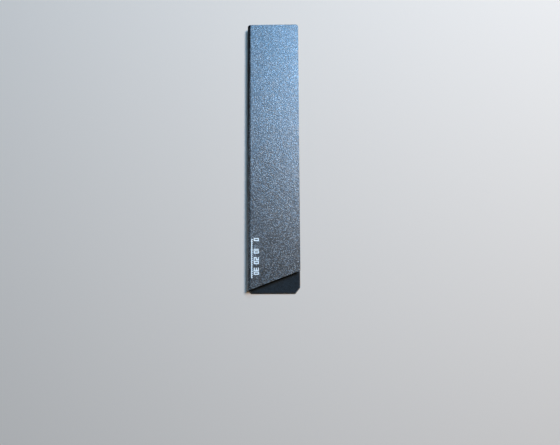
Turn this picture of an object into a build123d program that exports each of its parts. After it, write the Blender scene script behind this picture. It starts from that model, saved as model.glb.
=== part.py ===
from build123d import *
import math
import os

# Knife blade guard: a sheet of grained plastic folded along the cutting-edge side and lined with felt.
# It is open along the side where the back of the blade lies, at the tip and at the mouth.
# X runs across the guard from the fold to the open side, Y from the mouth to the tip, and Z up
# through the two leaves. The origin is on the back leaf's outer face, under the middle of the guard.
# Lengths are in millimetres and angles in degrees.

# The whole guard, laid flat
guard_width = 50.8
guard_length = 266.7

# One leaf's layers from the outside in, and the clear slot between the two linings
sheet_thickness = 1.0
glue_thickness = 0.1
felt_thickness = 0.6
slot_height = 4.3

# The mouth, where the back leaf reaches past the front leaf as a tongue
mouth_slope = 20.5
tongue_length = 3.4
tongue_corner_width = 4.6
tongue_corner_length = 5.8

# Corners and rims
tip_corner_radius = 3.0
rim_radius = 0.3

# The felt stops short of the sheet's open edges, and the glue short of the felt's
felt_inset = 0.9
glue_inset = 0.4

# Each half of the fold leans back from the other, so that the leaves can be pinched together
fold_relief = 2.5

# The printed rule: its place, its marks and the numbers that count its millimetres
print_thickness = 0.05
rule_from_fold = 0.3
rule_from_mouth = 52.0
mark_pitch = 2.0
mark_stroke = 0.8
mark_count = 19
marks_per_number = 5
short_mark = 1.4
long_mark = 2.0
number_gap = 0.45
digit_width = 3.0
digit_height = 4.9
digit_stroke = 0.95
digit_gap = 0.55

# Where the layers lie, and the corners of the guard in plan
felt_depth = sheet_thickness + glue_thickness
glue_edge = felt_inset + glue_inset
guard_thickness = 2 * (felt_depth + felt_thickness) + slot_height
middle_z = guard_thickness / 2
fold_radius = guard_thickness / 2
open_x = guard_width / 2
fold_outer_x = -guard_width / 2
fold_x = fold_outer_x + fold_radius
tip_y = guard_length / 2
mouth_y = -guard_length / 2
fold_end_y = mouth_y + tongue_length
slope = math.tan(math.radians(mouth_slope))
tip_plane = Plane.XZ.offset(-tip_y)

# The two sides of the guard, below and above the middle of the slot
BACK = -1
FRONT = 1


def front_corners(inset):
    """Corners of the front leaf with its half of the fold, reaching past the fold by the inset."""
    past_fold_x = fold_outer_x - inset
    return [
        (past_fold_x, fold_end_y - inset * slope),
        (open_x, fold_end_y + guard_width * slope),
        (open_x, tip_y),
        (past_fold_x, tip_y),
    ]


def back_corners(inset):
    """Corners of the back leaf with its half of the fold, reaching past the fold by the inset."""
    past_fold_x = fold_outer_x - inset
    corner_slope = tongue_length / fold_radius
    return [
        (past_fold_x, fold_end_y + inset * corner_slope),
        (fold_x, mouth_y),
        (open_x - tongue_corner_width, mouth_y),
        (open_x, mouth_y + tongue_corner_length),
        (open_x, tip_y),
        (past_fold_x, tip_y),
    ]


def plan(side, inset):
    """One side of the guard seen from above, drawn in from its open edges by the inset."""
    corners = front_corners(inset) if side == FRONT else back_corners(inset)
    with BuildSketch() as outline:
        with BuildLine():
            Polyline(*corners, close=True)
        make_face()
        if inset:
            offset(amount=-inset, kind=Kind.INTERSECTION)
        tip_corner = outline.vertices().group_by(Axis.Y)[-1].sort_by(Axis.X)[-1]
        fillet(tip_corner, tip_corner_radius - inset)
    return outline.sketch


def flat_plan(side, inset):
    """The same outline without the fold's share of it."""
    with BuildSketch() as outline:
        add(plan(side, inset))
        with Locations((fold_x + guard_width / 2, 0)):
            Rectangle(guard_width, guard_length, mode=Mode.INTERSECT)
    return outline.sketch


def fold_section(side, outer_radius, thickness):
    """A quarter of the fold's ring, cut back from the fold's outermost line by the relief."""
    relief = math.tan(math.radians(fold_relief)) * fold_radius
    with BuildSketch() as section:
        with Locations((fold_x, middle_z)):
            Circle(outer_radius)
            Circle(outer_radius - thickness, mode=Mode.SUBTRACT)
        with BuildLine():
            Polyline(
                (fold_outer_x, middle_z),
                (fold_x, middle_z + side * relief),
                (fold_x, middle_z + side * fold_radius),
                (fold_outer_x, middle_z + side * fold_radius),
                close=True,
            )
        make_face(mode=Mode.INTERSECT)
    return section.sketch


def leaf_rim(outer_face):
    """The edges of a leaf's outer face, without the one that meets the fold."""
    return outer_face.edges().sort_by(Axis.X)[1:]


def fold_rim(half):
    """The curved edges of the fold's outer face, at the tip and at the mouth."""
    outer_face = half.faces().filter_by(GeomType.CYLINDER).sort_by(SortBy.RADIUS)[-1]
    return outer_face.edges().filter_by(GeomType.LINE, reverse=True)


def finish(part, name):
    """Names a finished piece and writes it."""
    part.label = name
    export_step(part, f"parts/{name}.step")


os.makedirs("parts", exist_ok=True)

# The back leaf, which the guard lies on, with the tongue at its mouth
with BuildPart() as back_leaf:
    with BuildSketch():
        add(flat_plan(BACK, 0))
    extrude(amount=sheet_thickness)
    fillet(leaf_rim(back_leaf.faces().sort_by(Axis.Z)[0]), rim_radius)
finish(back_leaf.part, "back_leaf")

# The front leaf, with the slanted mouth
with BuildPart() as front_leaf:
    with BuildSketch(Plane.XY.offset(guard_thickness)):
        add(flat_plan(FRONT, 0))
    extrude(amount=-sheet_thickness)
    fillet(leaf_rim(front_leaf.faces().sort_by(Axis.Z)[-1]), rim_radius)
finish(front_leaf.part, "front_leaf")

# The two halves of the fold, which meet along its outermost line and turn about it
with BuildPart() as back_fold:
    with BuildSketch(tip_plane):
        add(fold_section(BACK, fold_radius, sheet_thickness))
    extrude(amount=guard_length)
    with BuildSketch():
        add(plan(BACK, 0))
    extrude(amount=guard_thickness, mode=Mode.INTERSECT)
    fillet(fold_rim(back_fold), rim_radius)
finish(back_fold.part, "back_fold")

with BuildPart() as front_fold:
    with BuildSketch(tip_plane):
        add(fold_section(FRONT, fold_radius, sheet_thickness))
    extrude(amount=guard_length)
    with BuildSketch():
        add(plan(FRONT, 0))
    extrude(amount=guard_thickness, mode=Mode.INTERSECT)
    fillet(fold_rim(front_fold), rim_radius)
finish(front_fold.part, "front_fold")

# The glue film between each leaf and its felt, which stops short of the felt's edges
with BuildPart() as back_glue:
    with BuildSketch(Plane.XY.offset(sheet_thickness)):
        add(flat_plan(BACK, glue_edge))
    extrude(amount=glue_thickness)
finish(back_glue.part, "back_glue")

with BuildPart() as front_glue:
    with BuildSketch(Plane.XY.offset(guard_thickness - sheet_thickness)):
        add(flat_plan(FRONT, glue_edge))
    extrude(amount=-glue_thickness)
finish(front_glue.part, "front_glue")

# The felt lining on each leaf
with BuildPart() as back_lining:
    with BuildSketch(Plane.XY.offset(felt_depth)):
        add(flat_plan(BACK, felt_inset))
    extrude(amount=felt_thickness)
finish(back_lining.part, "back_lining")

with BuildPart() as front_lining:
    with BuildSketch(Plane.XY.offset(guard_thickness - felt_depth)):
        add(flat_plan(FRONT, felt_inset))
    extrude(amount=-felt_thickness)
finish(front_lining.part, "front_lining")

# The felt in the fold, which lies dry in it, the glue's thickness away from the sheet
with BuildPart() as back_fold_lining:
    with BuildSketch(tip_plane):
        add(fold_section(BACK, fold_radius - felt_depth, felt_thickness))
    extrude(amount=guard_length)
    with BuildSketch():
        add(plan(BACK, felt_inset))
    extrude(amount=guard_thickness, mode=Mode.INTERSECT)
finish(back_fold_lining.part, "back_fold_lining")

with BuildPart() as front_fold_lining:
    with BuildSketch(tip_plane):
        add(fold_section(FRONT, fold_radius - felt_depth, felt_thickness))
    extrude(amount=guard_length)
    with BuildSketch():
        add(plan(FRONT, felt_inset))
    extrude(amount=guard_thickness, mode=Mode.INTERSECT)
finish(front_fold_lining.part, "front_fold_lining")

# The printed rule on the front leaf, which reads from the tip towards the mouth beside the fold
rule_origin = (fold_x + rule_from_fold, mouth_y + rule_from_mouth, guard_thickness)
rule_plane = Plane(origin=rule_origin, x_dir=(0, -1, 0), z_dir=(0, 0, 1))
rule_length = (mark_count - 1) * mark_pitch


def mark_height(mark):
    """A mark is long where it has a number."""
    return short_mark if mark % marks_per_number else long_mark


def digit_bars(digit):
    """The bars of a plain digit in a stencil of seven: places from the middle of its foot, and sizes."""
    right = (digit_width - digit_stroke) / 2
    half_up = (digit_height - digit_stroke) / 2
    foot = digit_stroke / 2
    flat_bar = (digit_width, digit_stroke)
    upright_bar = (digit_stroke, half_up + digit_stroke)
    bars = {
        "top": ((0, foot + 2 * half_up), flat_bar),
        "middle": ((0, foot + half_up), flat_bar),
        "bottom": ((0, foot), flat_bar),
        "upper_left": ((-right, foot + 3 * half_up / 2), upright_bar),
        "upper_right": ((right, foot + 3 * half_up / 2), upright_bar),
        "lower_left": ((-right, foot + half_up / 2), upright_bar),
        "lower_right": ((right, foot + half_up / 2), upright_bar),
    }
    left_out = {
        "0": ["middle"],
        "1": ["top", "middle", "bottom", "upper_left", "lower_left"],
        "2": ["upper_left", "lower_right"],
        "3": ["upper_left", "lower_left"],
        "4": ["top", "bottom", "lower_left"],
        "5": ["upper_right", "lower_left"],
        "6": ["upper_right"],
        "7": ["middle", "bottom", "upper_left", "lower_left"],
        "8": [],
        "9": ["lower_left"],
    }
    return [bar for name, bar in bars.items() if name not in left_out[digit]]


with BuildPart() as printed_rule:
    with BuildSketch(rule_plane):
        with Locations((rule_length / 2, mark_stroke / 2)):
            Rectangle(rule_length + mark_stroke, mark_stroke)
        for mark in range(mark_count):
            with Locations((mark * mark_pitch, mark_height(mark) / 2)):
                Rectangle(mark_stroke, mark_height(mark))
        for mark in range(0, mark_count, marks_per_number):
            digits = str(round(mark * mark_pitch))
            digit_step = digit_width + digit_gap
            first_digit = mark * mark_pitch - (len(digits) - 1) * digit_step / 2
            for order, digit in enumerate(digits):
                for (across, up), bar in digit_bars(digit):
                    with Locations((first_digit + order * digit_step + across, long_mark + number_gap + up)):
                        Rectangle(*bar)
    extrude(amount=print_thickness)
finish(printed_rule.part, "printed_rule")
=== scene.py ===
import math
import random

import bmesh
import bpy
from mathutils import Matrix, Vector, noise
from mathutils.bvhtree import BVHTree


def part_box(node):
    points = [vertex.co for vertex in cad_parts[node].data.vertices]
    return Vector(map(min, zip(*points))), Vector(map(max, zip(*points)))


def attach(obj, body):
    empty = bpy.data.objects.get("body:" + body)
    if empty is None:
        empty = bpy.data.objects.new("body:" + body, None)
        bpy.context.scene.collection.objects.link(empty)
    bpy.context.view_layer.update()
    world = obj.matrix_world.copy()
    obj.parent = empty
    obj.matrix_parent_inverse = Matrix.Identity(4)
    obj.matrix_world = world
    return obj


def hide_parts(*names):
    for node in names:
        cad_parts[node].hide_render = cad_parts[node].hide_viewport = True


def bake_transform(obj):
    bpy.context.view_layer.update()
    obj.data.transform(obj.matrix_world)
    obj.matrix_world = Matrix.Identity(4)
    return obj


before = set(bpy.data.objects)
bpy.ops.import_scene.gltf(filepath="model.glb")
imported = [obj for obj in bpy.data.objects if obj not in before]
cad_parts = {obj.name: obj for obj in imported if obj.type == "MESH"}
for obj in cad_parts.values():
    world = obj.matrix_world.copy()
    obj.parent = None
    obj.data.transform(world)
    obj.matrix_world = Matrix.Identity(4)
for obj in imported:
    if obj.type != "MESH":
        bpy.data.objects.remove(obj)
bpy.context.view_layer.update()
mm = 0.001
print("frame loaded:", len(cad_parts), "nodes")

# sizes that every piece follows, most of them read from the frame
backLow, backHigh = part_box("back_leaf")
_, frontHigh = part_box("front_leaf")
foldLow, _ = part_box("front_fold")
guard = {
    "openX": backHigh.x,
    "foldX": backLow.x,
    "outerX": foldLow.x,  # the fold's outermost line
    "tipY": backHigh.y,
    "mouthY": backLow.y,
    "foldEndY": backLow.y + 3.4 * mm,  # where the slanted mouth meets that line
    "slope": math.tan(math.radians(20.5)),  # of the slanted mouth
    "height": frontHigh.z,
    "middle": frontHigh.z / 2,
    "radius": frontHigh.z / 2,
    "tongueCorner": (4.6 * mm, 5.8 * mm),
    "tipCorner": 3.0 * mm,
    "smallCorner": 0.4 * mm,
}

nearly = 1e-6  # places less far apart than this, in metres, count as one
cutReach = 1e-7  # a cut goes through the points that lie as close to it as this
noiseMiddle = 0.5
noiseSpan = (0.3, 0.7)  # where most values of a noise lie


# sets or links a node's inputs, by name or number
def setInputs(tree, node, inputs):
    for socket, value in inputs.items():
        if isinstance(value, bpy.types.NodeSocket):
            tree.links.new(value, node.inputs[socket])
        else:
            node.inputs[socket].default_value = value


# settings are the node's own options
def addNode(tree, kind, inputs, **settings):
    node = tree.nodes.new(kind)
    for name, value in settings.items():
        setattr(node, name, value)
    setInputs(tree, node, inputs)
    return node


def doMath(tree, operation, first, second=0.0):
    return addNode(tree, "ShaderNodeMath", {0: first, 1: second}, operation=operation).outputs[0]


def multiply(tree, product, *values):
    for value in values:
        product = doMath(tree, "MULTIPLY", product, value)
    return product


# values added up, each times its share
def blendValues(tree, *pairs):
    total = 0.0
    for value, share in pairs:
        total = doMath(tree, "ADD", multiply(tree, value, share), total)
    return total


def vectorMath(tree, operation, inputs):
    return addNode(tree, "ShaderNodeVectorMath", inputs, operation=operation).outputs[0]


def mapRange(tree, value, fromLow, fromHigh, toLow=0.0, toHigh=1.0, kind="LINEAR"):
    inputs = {0: value, 1: fromLow, 2: fromHigh, 3: toLow, 4: toHigh}
    return addNode(tree, "ShaderNodeMapRange", inputs, interpolation_type=kind).outputs[0]


# goes from low to high as the mask goes from 0 to 1
def between(tree, mask, low, high):
    return mapRange(tree, mask, 0, 1, low, high)


# goes from low to high over most of a noise's values
def spreadNoise(tree, value, low, high):
    return mapRange(tree, value, *noiseSpan, low, high)


def mixColour(tree, factor, first, second):
    inputs = {0: factor, 6: first, 7: second}
    return addNode(tree, "ShaderNodeMix", inputs, data_type="RGBA").outputs[2]


def noiseAt(tree, place, scale, detail=2.0, distortion=0.0):
    inputs = {"Vector": place, "Scale": scale, "Detail": detail, "Distortion": distortion}
    return addNode(tree, "ShaderNodeTexNoise", inputs).outputs["Fac"]


# a value that each of a pattern's cells has for itself, from 0 to 1
def cellTone(tree, cells):
    return addNode(tree, "ShaderNodeSeparateColor", {0: cells.outputs["Color"]}).outputs[0]


def addBump(tree, height, distance, normal=None):
    inputs = {"Height": height, "Distance": distance, "Strength": 1.0}
    if normal:
        inputs["Normal"] = normal
    return addNode(tree, "ShaderNodeBump", inputs).outputs["Normal"]


def objectPlace(tree):
    return addNode(tree, "ShaderNodeTexCoord", {}).outputs["Object"]


# the place that each point had before the fold bent, so that patterns follow the surface
def restPlace(tree):
    return addNode(tree, "ShaderNodeAttribute", {}, attribute_name="restPlace").outputs["Vector"]


# cutFace is 1 along the cut and on its rims, grainedFace is 1 on the outer side; both are 0 elsewhere
def faceMask(tree, name):
    return addNode(tree, "ShaderNodeAttribute", {}, attribute_name=name).outputs["Fac"]


# a pattern shared by materials: Place is a vector, and all else that goes in or comes out is a number
def newGroup(name, inputs, outputs):
    tree = bpy.data.node_groups.new(name, "ShaderNodeTree")
    for labels, way in ((inputs, "INPUT"), (outputs, "OUTPUT")):
        for label in labels:
            kind = "NodeSocketVector" if label == "Place" else "NodeSocketFloat"
            tree.interface.new_socket(label, in_out=way, socket_type=kind)
    return tree, addNode(tree, "NodeGroupInput", {}).outputs


def usePattern(tree, group, place, size, **masks):
    inputs = {"Place": place, "Size": size, **masks}
    return addNode(tree, "ShaderNodeGroup", inputs, node_tree=group).outputs


def newMaterial(name):
    material = bpy.data.materials.new(name)
    material.use_nodes = True
    return material, material.node_tree, material.node_tree.nodes["Principled BSDF"]


# the embossed grain: small rounded pebbles, each with its own tone; their speckle is painted glints,
# lighter on their tops, with painted shade between them
grainShape = {
    "warp": 0.9,  # scale of the noise that bends the pebbles, beside the pebbles' own
    "sway": 0.7,  # how far it bends them, beside their size
    "randomness": 0.9,
    "smoothness": 0.35,
    "fine": 2.6,  # scale of the finer pebbles, beside the others'
    "cloud": 0.06,  # scale of the broad clouds
    "tone": (0.42, 0.62),  # a cell's value, from dark pebbles to light ones
    "dome": (0.70, 0.15),  # from a pebble's foot to its top; in the speckle it paints shade at the foot
    "fineDome": (0.8, 0.1),
    "fineShade": (0.6, 1.2),  # the painted shade and highlight that the finer pebbles put on the others
    "relief": (0.75, 0.15, 0.25),  # shares of the domes, the finer domes and the tones
}


def makeGrain():
    s = grainShape
    tree, given = newGroup("embossedGrain", ["Place", "Size"], ["GlintSpeckle", "Height", "Cloud"])
    place, size = given["Place"], given["Size"]
    scale = doMath(tree, "DIVIDE", 1.0, size)
    warp = {"Vector": place, "Scale": multiply(tree, scale, s["warp"]), "Detail": 1.0}
    sway = addNode(tree, "ShaderNodeTexNoise", warp).outputs["Color"]
    sway = vectorMath(tree, "SUBTRACT", {0: sway, 1: (noiseMiddle, noiseMiddle, noiseMiddle)})
    sway = vectorMath(tree, "SCALE", {0: sway, "Scale": multiply(tree, size, s["sway"])})
    bent = vectorMath(tree, "ADD", {0: place, 1: sway})
    pebbles = {"Vector": bent, "Scale": scale, "Randomness": s["randomness"]}
    rounded = {**pebbles, "Smoothness": s["smoothness"]}
    coarse = addNode(tree, "ShaderNodeTexVoronoi", rounded, feature="SMOOTH_F1")
    pebbles["Scale"] = multiply(tree, scale, s["fine"])
    fine = addNode(tree, "ShaderNodeTexVoronoi", pebbles)
    cloud = noiseAt(tree, place, multiply(tree, scale, s["cloud"]), detail=3.0)
    tone = mapRange(tree, cellTone(tree, coarse), *s["tone"], kind="SMOOTHSTEP")
    dome = mapRange(tree, coarse.outputs["Distance"], *s["dome"], kind="SMOOTHSTEP")
    fineDome = mapRange(tree, fine.outputs["Distance"], *s["fineDome"], kind="SMOOTHSTEP")
    # the speckle: painted glints on the pebbles' tops and painted shade at their feet
    glintSpeckle = multiply(tree, tone, dome, between(tree, fineDome, *s["fineShade"]))
    height = blendValues(tree, *zip((dome, fineDome, tone), s["relief"]))
    addNode(tree, "NodeGroupOutput", {"GlintSpeckle": glintSpeckle, "Height": height, "Cloud": cloud})
    return tree


# wear where a sheet was cut, in patches
wearShape = {
    "detail": 4.0,
    "sway": 0.4,
    "patch": (0.38, 0.66),  # values of the noise, from the least wear to the most
    "least": 0.15,
}


def makeWear():
    s = wearShape
    tree, given = newGroup("cutEdgeWear", ["Place", "Cut", "Size"], ["Mask"])
    scale = doMath(tree, "DIVIDE", 1.0, given["Size"])
    patches = noiseAt(tree, given["Place"], scale, s["detail"], s["sway"])
    patchy = mapRange(tree, patches, *s["patch"], s["least"], 1.0, kind="SMOOTHSTEP")
    addNode(tree, "NodeGroupOutput", {"Mask": multiply(tree, patchy, given["Cut"])})
    return tree


sheetLook = {
    "grain": 0.90 * mm,
    "grainDepth": 0.10 * mm,
    # dark is the plastic's own black; light is the colour of the painted glints on the pebbles
    "dark": (0.005, 0.006, 0.007, 1),
    "light": (0.262, 0.298, 0.318, 1),
    "cloud": (0.85, 1.0),  # how far its broad clouds dim the pebbles
    "gloss": (0.68, 0.84),  # how much its dark and light pebbles reflect
    "foldShadeGloss": 0.03,  # the share of that along the fold, where the reflection is nearly taken away with the painted shade
    "worn": (0.050, 0.058, 0.066, 1),
    "roughness": (0.38, 0.32),  # of its dark and light pebbles
    "smudge": (-0.03, 0.03),  # what the clouds add to that
    "ior": 1.9,
    "plainRelief": 0.2,  # the share of the grain's relief where it has no grain
    "microGrain": 0.16 * mm,
    "microDepth": 0.004 * mm,
    "wearSize": 5 * mm,
    "foldShadeWidth": (-0.6 * mm, 2.4 * mm),  # of the painted shade along the fold, at the mouth and at the tip
    "foldShadeFade": 0.9 * mm,
}


def sheetMaterial(grain, wear):
    look = sheetLook
    material, tree, shader = newMaterial("grainedSheet")
    place = restPlace(tree)
    pebbles = usePattern(tree, grain, place, look["grain"])
    glintSpeckle = pebbles["GlintSpeckle"]
    worn = usePattern(tree, wear, place, look["wearSize"], Cut=faceMask(tree, "cutFace"))["Mask"]
    # along the fold the grain is left out and the sheet painted dark: painted shade on the fold's
    # rounding, narrower at the mouth than at the tip
    across, along, _ = addNode(tree, "ShaderNodeSeparateXYZ", {0: place}).outputs
    bent = mapRange(tree, along, guard["mouthY"], guard["tipY"], *look["foldShadeWidth"])
    fromFoldShade = doMath(tree, "SUBTRACT", doMath(tree, "SUBTRACT", across, guard["outerX"]), bent)
    outsideFoldShade = mapRange(tree, fromFoldShade, 0.0, look["foldShadeFade"], kind="SMOOTHSTEP")
    grained = multiply(tree, outsideFoldShade, faceMask(tree, "grainedFace"))
    # the grain's painted glints and shade, all dark along the fold as painted shade
    shade = multiply(tree, glintSpeckle, spreadNoise(tree, pebbles["Cloud"], *look["cloud"]), grained)
    colour = mixColour(tree, shade, look["dark"], look["light"])
    roughness = between(tree, glintSpeckle, *look["roughness"])
    smudge = spreadNoise(tree, pebbles["Cloud"], *look["smudge"])
    gloss = between(tree, glintSpeckle, *look["gloss"])
    relief = multiply(tree, pebbles["Height"], between(tree, grained, look["plainRelief"], 1.0))
    micro = noiseAt(tree, place, 1 / look["microGrain"])
    setInputs(tree, shader, {
        "Base Color": mixColour(tree, worn, colour, look["worn"]),
        "Roughness": doMath(tree, "ADD", roughness, smudge),
        "IOR": look["ior"],
        # along the fold the reflection is nearly taken away, to go with the painted shade
        "Specular IOR Level": multiply(tree, gloss, between(tree, outsideFoldShade, look["foldShadeGloss"], 1.0)),
        "Normal": addBump(tree, micro, look["microDepth"], addBump(tree, relief, look["grainDepth"])),
    })
    return material


# short fibres that cross each other: strands stretched three ways, and how high they lie
strandShape = {
    "angles": (15, 78, 136),  # degrees
    "stretch": (1.0, 0.2, 1.0),
    "sway": 0.6,
    "ridge": 0.045,  # half a strand's width, in values of the noise
}


def makeStrands():
    s = strandShape
    tree, given = newGroup("feltStrands", ["Place", "Size"], ["Strand", "Height"])
    scale = doMath(tree, "DIVIDE", 1.0, given["Size"])
    strand = height = 0.0
    for angle in s["angles"]:
        turn = {"Vector": given["Place"], "Angle": math.radians(angle)}
        turned = addNode(tree, "ShaderNodeVectorRotate", turn, rotation_type="Z_AXIS").outputs[0]
        stretched = vectorMath(tree, "MULTIPLY", {0: turned, 1: s["stretch"]})
        waves = noiseAt(tree, stretched, scale, distortion=s["sway"])
        fromRidge = doMath(tree, "ABSOLUTE", doMath(tree, "SUBTRACT", waves, noiseMiddle))
        ridge = mapRange(tree, fromRidge, 0.0, s["ridge"], 1.0, 0.0)
        strand = doMath(tree, "MAXIMUM", ridge, strand)
        height = doMath(tree, "ADD", ridge, height)
    addNode(tree, "NodeGroupOutput", {"Strand": strand, "Height": height})
    return tree


feltLook = {
    "dark": (0.0020, 0.0035, 0.0045, 1),
    "light": (0.0200, 0.0280, 0.0330, 1),
    "cut": (0.0300, 0.0340, 0.0370, 1),
    "fibre": 0.22 * mm,
    "clump": 2.5 * mm,
    "clumpShade": 0.35,  # how light the strands are between the clumps
    "depth": 0.05 * mm,
    "strandRelief": 0.4,  # beside the clumps'
    "roughness": (0.98, 0.88),  # between the strands and on them
    "sheen": 0.06,
    "sheenRoughness": 0.5,
}


def feltMaterial(strands, wear):
    look = feltLook
    material, tree, shader = newMaterial("denseFelt")
    place = restPlace(tree)
    fibres = usePattern(tree, strands, place, look["fibre"])
    fuzzy = usePattern(tree, wear, place, look["clump"], Cut=faceMask(tree, "cutFace"))["Mask"]
    clumps = noiseAt(tree, place, 1 / look["clump"], detail=3.0)
    tone = multiply(tree, fibres["Strand"], spreadNoise(tree, clumps, look["clumpShade"], 1.0))
    colour = mixColour(tree, tone, look["dark"], look["light"])
    height = blendValues(tree, (fibres["Height"], look["strandRelief"]), (clumps, 1.0))
    setInputs(tree, shader, {
        "Base Color": mixColour(tree, fuzzy, colour, look["cut"]),
        "Roughness": between(tree, fibres["Strand"], *look["roughness"]),
        "Normal": addBump(tree, height, look["depth"]),
        "Sheen Weight": look["sheen"],
        "Sheen Roughness": look["sheenRoughness"],
    })
    return material


# the white ink, thinner in the grain's hollows
inkLook = {
    "ink": (0.94, 0.95, 0.89, 1),
    "thin": (0.80, 0.82, 0.78, 1),
    "hollow": 0.3,  # the grain's speckle from which the ink is full
    "roughness": (0.42, 0.6),  # of full ink and of thin ink
    "depth": 0.012 * mm,
}


def inkMaterial(grain):
    look = inkLook
    material, tree, shader = newMaterial("whiteInk")
    pebbles = usePattern(tree, grain, objectPlace(tree), sheetLook["grain"])
    thin = mapRange(tree, pebbles["GlintSpeckle"], 0.0, look["hollow"], 1.0, 0.0)
    setInputs(tree, shader, {
        "Base Color": mixColour(tree, thin, look["ink"], look["thin"]),
        "Roughness": between(tree, thin, *look["roughness"]),
        "Normal": addBump(tree, pebbles["Height"], look["depth"]),
    })
    return material


glueLook = {
    "clear": (0.62, 0.60, 0.52, 1),
    "yellow": (0.50, 0.43, 0.28, 1),
    "streak": 3 * mm,
    "sway": 0.8,
    "roughness": (0.2, 0.4),
    "depth": 0.02 * mm,
}


def glueMaterial():
    look = glueLook
    material, tree, shader = newMaterial("glueFilm")
    streaks = noiseAt(tree, objectPlace(tree), 1 / look["streak"], 3.0, look["sway"])
    setInputs(tree, shader, {
        "Base Color": mixColour(tree, streaks, look["clear"], look["yellow"]),
        "Roughness": spreadNoise(tree, streaks, *look["roughness"]),
        "Normal": addBump(tree, streaks, look["depth"]),
    })
    return material


def meshFrom(name, bm):
    mesh = bpy.data.meshes.new(name)
    bm.to_mesh(mesh)
    bm.free()
    return mesh


def shadeSmooth(mesh):
    mesh.polygons.foreach_set("use_smooth", [True] * len(mesh.polygons))


def addObject(name, data):
    piece = bpy.data.objects.new(name, data)
    bpy.context.scene.collection.objects.link(piece)
    return piece


# how deep a place lies under the sheet's outer face, and the way from there to the slot
def depthAt(place):
    if place.x > guard["foldX"]:
        if place.z < guard["middle"]:
            return place.z, Vector((0, 0, 1))
        return guard["height"] - place.z, Vector((0, 0, -1))
    inward = Vector((guard["foldX"] - place.x, 0, guard["middle"] - place.z))
    return guard["radius"] - inward.length, inward.normalized()


# the open side, the tip and the mouth of a layer that stops short of the guard's edges
def drawnIn(inset):
    return guard["openX"] - inset, guard["tipY"] - inset, guard["mouthY"] + inset


# a vertical cut through two places in plan, moved in by the inset; outward is to its right
def cutPlane(first, second, inset=0.0):
    along = Vector(second) - Vector(first)
    outward = Vector((along.y, -along.x, 0)).normalized()
    return Vector((*first, 0)) - outward * inset, outward


# the mouth's cuts, each with the side that it trims: the front's slant, and the back's two corners
def mouthCuts(depth, inset):
    slope = guard["slope"]
    start = (guard["outerX"] + depth, guard["foldEndY"] + slope * depth + inset * math.hypot(1, slope))
    run, rise = guard["foldX"] - guard["outerX"], guard["foldEndY"] - guard["mouthY"]
    corner = (guard["foldX"] + inset * (math.hypot(run, rise) - run) / rise, guard["mouthY"] + inset)
    wide, long = guard["tongueCorner"]
    cornerStart = (guard["openX"] - wide, guard["mouthY"])
    cornerEnd = (guard["openX"], guard["mouthY"] + long)
    return [
        (True, *cutPlane(start, (start[0] + 1, start[1] + slope))),
        (False, *cutPlane(start, corner)),
        (False, *cutPlane(cornerStart, cornerEnd, inset)),
    ]


def facesOf(bm, front):
    return [face for face in bm.faces if (face.calc_center_median().z > guard["middle"]) == front]


def sliceAll(bm, place, normal):
    geom = bm.verts[:] + bm.edges[:] + bm.faces[:]
    bmesh.ops.bisect_plane(bm, geom=geom, dist=cutReach, plane_co=place, plane_no=normal)


# what the sheet and its felt have in common; their own sizes are in sheetShape and feltShape
foldedShape = {
    "cornerSteps": 10,
    "rimSteps": 3,
    "rimAngle": math.radians(60),  # edges sharper than this are rims
    "rimShare": 0.2,  # how near to a side of the wall they lie, beside its thickness
    "flatShare": 0.03,  # how much a face's depth may vary if it doesn't belong to the cut
}


# the outer side alone: along the back leaf, round the fold and along the front leaf
def sweepSide(bm, s):
    openX, tipY, mouthY = drawnIn(s["inset"])
    foldX, middle = guard["foldX"], guard["middle"]
    start = bmesh.ops.create_vert(bm, co=(openX, tipY, s["depth"]))["vert"]
    toFold = bmesh.ops.extrude_vert_indiv(bm, verts=start)["verts"]
    bmesh.ops.translate(bm, verts=toFold, vec=(foldX - openX, 0, 0))
    turn = bmesh.ops.spin(
        bm, geom=toFold, cent=(foldX, tipY, middle), axis=(0, 1, 0), angle=math.pi, steps=s["foldSteps"]
    )
    last = [v for v in turn["geom_last"] if isinstance(v, bmesh.types.BMVert)]
    toOpen = bmesh.ops.extrude_vert_indiv(bm, verts=last)["verts"]
    bmesh.ops.translate(bm, verts=toOpen, vec=(openX - foldX, 0, 0))
    along = bmesh.ops.extrude_edge_only(bm, edges=bm.edges[:])["geom"]
    alongVerts = [v for v in along if isinstance(v, bmesh.types.BMVert)]
    bmesh.ops.translate(bm, verts=alongVerts, vec=(0, mouthY - tipY, 0))


def trimMouth(bm, s):
    for front, place, outward in mouthCuts(s["depth"], s["inset"]):
        side = facesOf(bm, front)
        edges = [e for e in bm.edges if any(f in side for f in e.link_faces)]
        verts = [v for v in bm.verts if any(f in side for f in v.link_faces)]
        geom = side + edges + verts
        bmesh.ops.bisect_plane(bm, geom=geom, dist=cutReach, plane_co=place, plane_no=outward)
        gone = [f for f in facesOf(bm, front) if (f.calc_center_median() - place).dot(outward) > 0]
        bmesh.ops.delete(bm, geom=gone, context="FACES")


# corners: round at the tip, hardly eased elsewhere
def roundCorners(bm, s):
    openX, tipY, _ = drawnIn(s["inset"])
    tips = [v for v in bm.verts if v.co.x > openX - nearly and v.co.y > tipY - nearly]
    others = [
        v for v in bm.verts
        if v.co.x > guard["foldX"] + nearly and len(v.link_edges) == 2 and v not in tips
    ]
    for corners, radius in ((tips, guard["tipCorner"] - s["inset"]), (others, guard["smallCorner"])):
        bmesh.ops.bevel(
            bm, geom=corners, offset=radius, offset_type="OFFSET",
            segments=foldedShape["cornerSteps"], profile=0.5, affect="VERTICES", material=-1,
        )


# the wall's thickness, inwards
def thickenWall(bm, s):
    bmesh.ops.recalc_face_normals(bm, faces=bm.faces[:])
    back = facesOf(bm, False)
    if max(back, key=lambda f: f.calc_area()).normal.z > 0:
        bmesh.ops.reverse_faces(bm, faces=bm.faces[:])
    bmesh.ops.solidify(bm, geom=bm.faces[:], thickness=s["wall"])
    bmesh.ops.recalc_face_normals(bm, faces=bm.faces[:])


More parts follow.
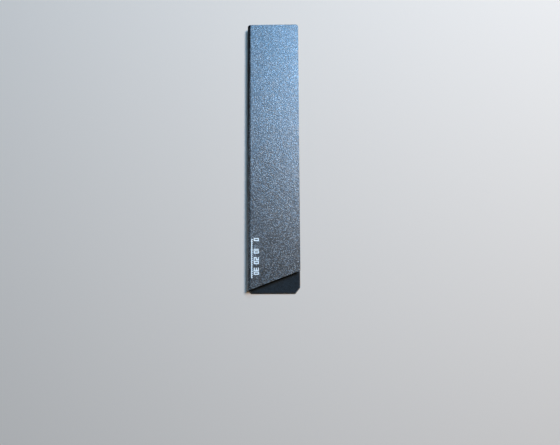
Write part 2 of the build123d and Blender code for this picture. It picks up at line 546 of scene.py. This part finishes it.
def roundRims(bm, s):
    rims = {"outerRim": [], "innerRim": []}
    for edge in bm.edges:
        if len(edge.link_faces) == 2 and edge.calc_face_angle() > foldedShape["rimAngle"]:
            depths = [depthAt(v.co)[0] - s["depth"] for v in edge.verts]
            if max(depths) < s["wall"] * foldedShape["rimShare"]:
                rims["outerRim"].append(edge)
            elif min(depths) > s["wall"] * (1 - foldedShape["rimShare"]):
                rims["innerRim"].append(edge)
    for rim, edges in rims.items():
        bmesh.ops.bevel(
            bm, geom=edges, offset=s[rim], offset_type="OFFSET",
            segments=foldedShape["rimSteps"], profile=0.5, affect="EDGES", clamp_overlap=True, material=-1,
        )


# the marks that faceMask reads
def markFaces(bm, s):
    cut = bm.faces.layers.float.new("cutFace")
    grained = bm.faces.layers.float.new("grainedFace")
    flat = s["wall"] * foldedShape["flatShare"]
    for face in bm.faces:
        depths = [depthAt(v.co)[0] for v in face.verts]
        face[cut] = float(max(depths) - min(depths) > flat)
        face[grained] = float(max(depths) < s["depth"] + flat)
    return cut


# the uneven pile on the side of the slot, and the uneven cut
def raisePile(bm, cut, s):
    width, length = guard["openX"] - guard["foldX"], guard["tipY"] - guard["mouthY"]
    columns, rows = math.ceil(width / s["cell"]), math.ceil(length / s["cell"])
    for column in range(columns):
        sliceAll(bm, (guard["foldX"] + column * width / columns, 0, 0), (1, 0, 0))
    for row in range(1, rows):
        sliceAll(bm, (0, guard["tipY"] - row * length / rows, 0), (0, 1, 0))
    halved = [e for e in bm.edges if e.calc_length() > s["cell"] * s["halved"]]
    bmesh.ops.subdivide_edges(bm, edges=halved, cuts=1, use_grid_fill=True)
    fine, fineSize = s["finePile"]
    for vert in bm.verts:
        depth, inward = depthAt(vert.co)
        ragged = Vector(noise.noise_vector(vert.co / s["raggedSize"])) * s["ragged"]
        if any(face[cut] for face in vert.link_faces):
            vert.co += Vector((ragged.x if vert.co.x > guard["foldX"] + s["cell"] else 0, ragged.y, 0))
        elif depth > s["depth"] + s["wall"] / 2:
            swell = noise.noise(vert.co / s["pileSize"])
            swell += fine * noise.noise(vert.co / (s["pileSize"] * fineSize))
            vert.co += inward * swell * s["pile"]


# one sheet over both leaves and the fold, and the area of its outer side
def foldedSheet(name, s):
    bm = bmesh.new()
    sweepSide(bm, s)
    trimMouth(bm, s)
    roundCorners(bm, s)
    area = sum(f.calc_area() for f in bm.faces)
    thickenWall(bm, s)
    roundRims(bm, s)
    cut = markFaces(bm, s)
    if s["pile"]:
        raisePile(bm, cut, s)
    print(name, "area", round(area, 6))
    return addObject(name, meshFrom(name, bm)), area


def finishFolded(piece, material, nodes):
    mesh = piece.data
    mesh.materials.append(material)
    shadeSmooth(mesh)
    places = [value for vertex in mesh.vertices for value in vertex.co]
    mesh.attributes.new("restPlace", "FLOAT_VECTOR", "POINT").data.foreach_set("vector", places)
    even = piece.modifiers.new("evenShading", "WEIGHTED_NORMAL")
    even.keep_sharp = True
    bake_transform(piece)
    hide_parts(*nodes)


grain = makeGrain()
wear = makeWear()
strands = makeStrands()

sheetShape = {
    "depth": 0.0,
    "inset": 0.0,
    "wall": backHigh.z - backLow.z,
    "foldSteps": 40,
    "outerRim": 0.3 * mm,
    "innerRim": 0.12 * mm,
    "pile": 0.0,
}
plasticSheet, _ = foldedSheet("foldedSheet", sheetShape)
sheetNodes = ["back_leaf", "back_fold", "front_fold", "front_leaf"]
finishFolded(plasticSheet, sheetMaterial(grain, wear), sheetNodes)
print("folded sheet:", len(plasticSheet.data.polygons), "faces")

backFeltLow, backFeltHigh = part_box("back_lining")
feltShape = {
    "depth": backFeltLow.z,
    "inset": guard["openX"] - backFeltHigh.x,
    "wall": backFeltHigh.z - backFeltLow.z,
    "foldSteps": 28,
    "outerRim": 0.1 * mm,
    "innerRim": 0.2 * mm,
    "cell": 2.5 * mm,
    "halved": 0.6,  # edges longer than this share of a cell are halved
    "pile": 0.05 * mm,
    "pileSize": 4 * mm,
    "finePile": (0.5, 0.4),  # height and size of the finer waves, beside the broad ones'
    "ragged": 0.12 * mm,
    "raggedSize": 1.6 * mm,
}
felt, feltArea = foldedSheet("feltLining", feltShape)
feltNodes = ["back_lining", "back_fold_lining", "front_fold_lining", "front_lining"]
finishFolded(felt, feltMaterial(strands, wear), feltNodes)
print("felt lining:", len(felt.data.polygons), "faces,", round(feltArea * 10000), "square centimetres")

strayFibres = {
    "count": 900,
    "onPile": 3,  # one in so many lies on the pile, and the rest stand out of the cut
    "fromFold": 1 * mm,  # the felt in the fold and beside it has none
    "facing": 0.7,  # how squarely a face of the pile looks across the slot
    "length": (0.4 * mm, 1.0 * mm),
    "radius": 0.018 * mm,
    "tip": 0.3,  # its end's share of the radius
    "sides": 3,
    "joints": (1 / 3, 2 / 3),  # where it can bend
    "reach": 0.5,  # how far it runs along, beside its length
    "bend": 0.5,  # how far its end turns sideways at most
    "rise": 0.07 * mm,  # towards the slot
    "arch": (0.2, 0.7),  # where on half a wave that rise starts, and how much of it follows
    "standing": 0.6,  # how far those in the cut stand out of it, beside their length
}


# one straight tapering fibre of length 1 and radius 1, ready to be bent
def fibreShape(s):
    bm = bmesh.new()
    bmesh.ops.create_cone(
        bm, cap_ends=True, segments=s["sides"], radius1=1.0, radius2=s["tip"], depth=1.0
    )
    bmesh.ops.translate(bm, verts=bm.verts[:], vec=(0, 0, 0.5))
    for height in s["joints"]:
        sliceAll(bm, (0, 0, height), (0, 0, 1))
    return meshFrom("fibreShape", bm)


# the felt's flat faces on one leaf, ready to be searched: its pile, and its cut
def feltFaces(front, flatX, towards, facing):
    cloth = felt.data
    isCut = [mark.value > 0.5 for mark in cloth.attributes["cutFace"].data]
    faces = [
        p for p in cloth.polygons
        if (p.center.z > guard["middle"]) == front and p.center.x > flatX
        and (isCut[p.index] or p.normal.dot(towards) > facing)
    ]
    places = [vertex.co for vertex in cloth.vertices]
    return [
        BVHTree.FromPolygons(places, [p.vertices[:] for p in faces if isCut[p.index] == inCut])
        for inCut in (False, True)
    ]


# the place on the felt's cut that is nearest in plan
def nearestCut(x, y, front):
    inset = feltShape["inset"]
    openX, tipY, mouthY = drawnIn(inset)
    if front:
        mouthY = guard["foldEndY"] + guard["slope"] * (x - guard["outerX"]) + inset
    return min((openX - x, openX, y), (tipY - y, x, tipY), (y - mouthY, x, mouthY))[1:]


# stray fibres on one leaf: some lie on the pile, the rest stand out of its cut
def fibresOn(name, front, s):
    rng = random.Random(name)
    shape = fibreShape(s)
    bm = bmesh.new()
    flatX = guard["foldX"] + s["fromFold"]
    towards = Vector((0, 0, -1 if front else 1))
    pile, edge = feltFaces(front, flatX, towards, s["facing"])
    levels = (feltShape["depth"], feltShape["depth"] + feltShape["wall"])
    foot, span = s["arch"]
    for number in range(s["count"]):
        inCut = number % s["onPile"] > 0
        level = rng.uniform(*levels)
        x, y = rng.uniform(flatX, guard["openX"]), rng.uniform(guard["mouthY"], guard["tipY"])
        if inCut:
            x, y = nearestCut(x, y, front)
        spot = Vector((x, y, guard["height"] - level if front else level))
        start, normal, _, _ = (edge if inCut else pile).find_nearest(spot)
        length = rng.uniform(*s["length"])
        angle = rng.uniform(0, 2 * math.pi)
        along = Vector((math.cos(angle), math.sin(angle), 0))
        outward = Vector((normal.x, normal.y, 0)) * (s["standing"] if inCut else 0.0)
        sideways = along.cross(towards)
        bend = sideways * rng.uniform(-s["bend"], s["bend"])
        made = len(bm.verts)
        bm.from_mesh(shape)
        bm.verts.ensure_lookup_table()
        for vert in bm.verts[made:]:
            t = vert.co.z
            place = start + ((along * s["reach"] + outward) * t + bend * t * t) * length
            place += towards * s["rise"] * math.sin(math.pi * (foot + span * t))
            vert.co = place + (sideways * vert.co.x + towards * vert.co.y) * s["radius"]
    bmesh.ops.recalc_face_normals(bm, faces=bm.faces[:])
    bpy.data.meshes.remove(shape)
    mesh = meshFrom(name, bm)
    shadeSmooth(mesh)
    return addObject(name, mesh)


fibreLook = {
    "dark": (0.020, 0.024, 0.028, 1),
    "light": (0.110, 0.120, 0.128, 1),
    "patch": 1.5 * mm,
    "tone": (0.35, 0.65),  # values of the noise, from dark patches to light ones
    "roughness": (0.9, 0.7),
}


def fibreMaterial():
    look = fibreLook
    material, tree, shader = newMaterial("strayFibre")
    patches = noiseAt(tree, objectPlace(tree), 1 / look["patch"])
    tone = mapRange(tree, patches, *look["tone"], kind="SMOOTHSTEP")
    setInputs(tree, shader, {
        "Base Color": mixColour(tree, tone, look["dark"], look["light"]),
        "Roughness": spreadNoise(tree, patches, *look["roughness"]),
    })
    return material


fibreThread = fibreMaterial()
for name, body in (("backFibres", "back"), ("frontFibres", "front")):
    fibres = fibresOn(name, body == "front", strayFibres)
    fibres.data.materials.append(fibreThread)
    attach(fibres, body)
print("stray fibres:", strayFibres["count"], "on each leaf")

# the glue and the print are the frame's own solids
glueFilm = glueMaterial()
whiteInk = inkMaterial(grain)
for node, material in (("back_glue", glueFilm), ("front_glue", glueFilm), ("printed_rule", whiteInk)):
    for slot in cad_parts[node].material_slots:
        slot.material = material
print("glue and print dressed")

# floor, light and camera
studio = {
    "floor": (0.74, 0.60, 0.48, 1),
    "floorSize": 2.4,
    "floorRoughness": 0.9,
    "floorSpecular": 0.1,
    "world": (1.0, 0.97, 0.93, 1),
    "worldStrength": 0.03,
    "backdrop": (0.80, 0.80, 0.78, 1),  # what the camera sees past the floor
}
lamps = {
    "windowSoftbox": {
        "place": (0.20, 1.04, 1.25), "size": (0.36, 0.80), "power": 12.5, "colour": (0.23, 0.565, 1.0),
    },
    "keySoftbox": {
        "place": (0.67, 0.75, 1.25), "size": (0.36, 0.50), "power": 20.0, "colour": (0.23, 0.555, 1.0),
    },
    "ceilingSoftbox": {
        "place": (0.45, 0.10, 1.45), "size": (0.80, 0.90), "power": 1.4, "colour": (1.0, 0.80, 0.55),
    },
    "sideSoftbox": {
        "place": (0.72, 0.55, 1.15), "size": (0.35, 0.35), "power": 14.5, "colour": (1.0, 0.87, 0.72),
    },
}
photoView = {
    "place": (10.05 * mm, -89.17 * mm, 326.95 * mm),
    "turn": (4.286, 0.696, -0.287),  # degrees
    "lens": 21.536,
    "sensor": 36.0,
    "clip": (0.01, 20),
}


def makeFloor():
    bm = bmesh.new()
    bmesh.ops.create_grid(bm, x_segments=1, y_segments=1, size=studio["floorSize"] / 2)
    floor = addObject("floor", meshFrom("floor", bm))
    material, tree, shader = newMaterial("floorPaper")
    setInputs(tree, shader, {
        "Base Color": studio["floor"],
        "Roughness": studio["floorRoughness"],
        "Specular IOR Level": studio["floorSpecular"],
    })
    floor.data.materials.append(material)


# a soft lamp that shines towards the guard
def makeLamp(name, s):
    lamp = bpy.data.lights.new(name, "AREA")
    lamp.shape = "RECTANGLE"
    lamp.size, lamp.size_y = s["size"]
    lamp.energy = s["power"]
    lamp.color = s["colour"]
    softbox = addObject(name, lamp)
    softbox.location = s["place"]
    softbox.rotation_euler = Vector(s["place"]).to_track_quat("Z", "Y").to_euler()


def makeWorld():
    world = bpy.data.worlds.new("studio")
    world.use_nodes = True
    tree = world.node_tree
    seen = addNode(tree, "ShaderNodeLightPath", {}).outputs["Is Camera Ray"]
    setInputs(tree, tree.nodes["Background"], {
        "Strength": between(tree, seen, studio["worldStrength"], 1.0),
        "Color": mixColour(tree, seen, studio["world"], studio["backdrop"]),
    })
    bpy.context.scene.world = world


def makeCamera():
    data = bpy.data.cameras.new("photoCamera")
    data.lens, data.sensor_width = photoView["lens"], photoView["sensor"]
    data.clip_start, data.clip_end = photoView["clip"]
    camera = addObject("photoCamera", data)
    camera.location = photoView["place"]
    camera.rotation_euler = [math.radians(angle) for angle in photoView["turn"]]
    bpy.context.scene.camera = camera


makeFloor()
for name, lamp in lamps.items():
    makeLamp(name, lamp)
makeWorld()
makeCamera()
bpy.context.scene.view_settings.view_transform = "Standard"
print("studio ready")
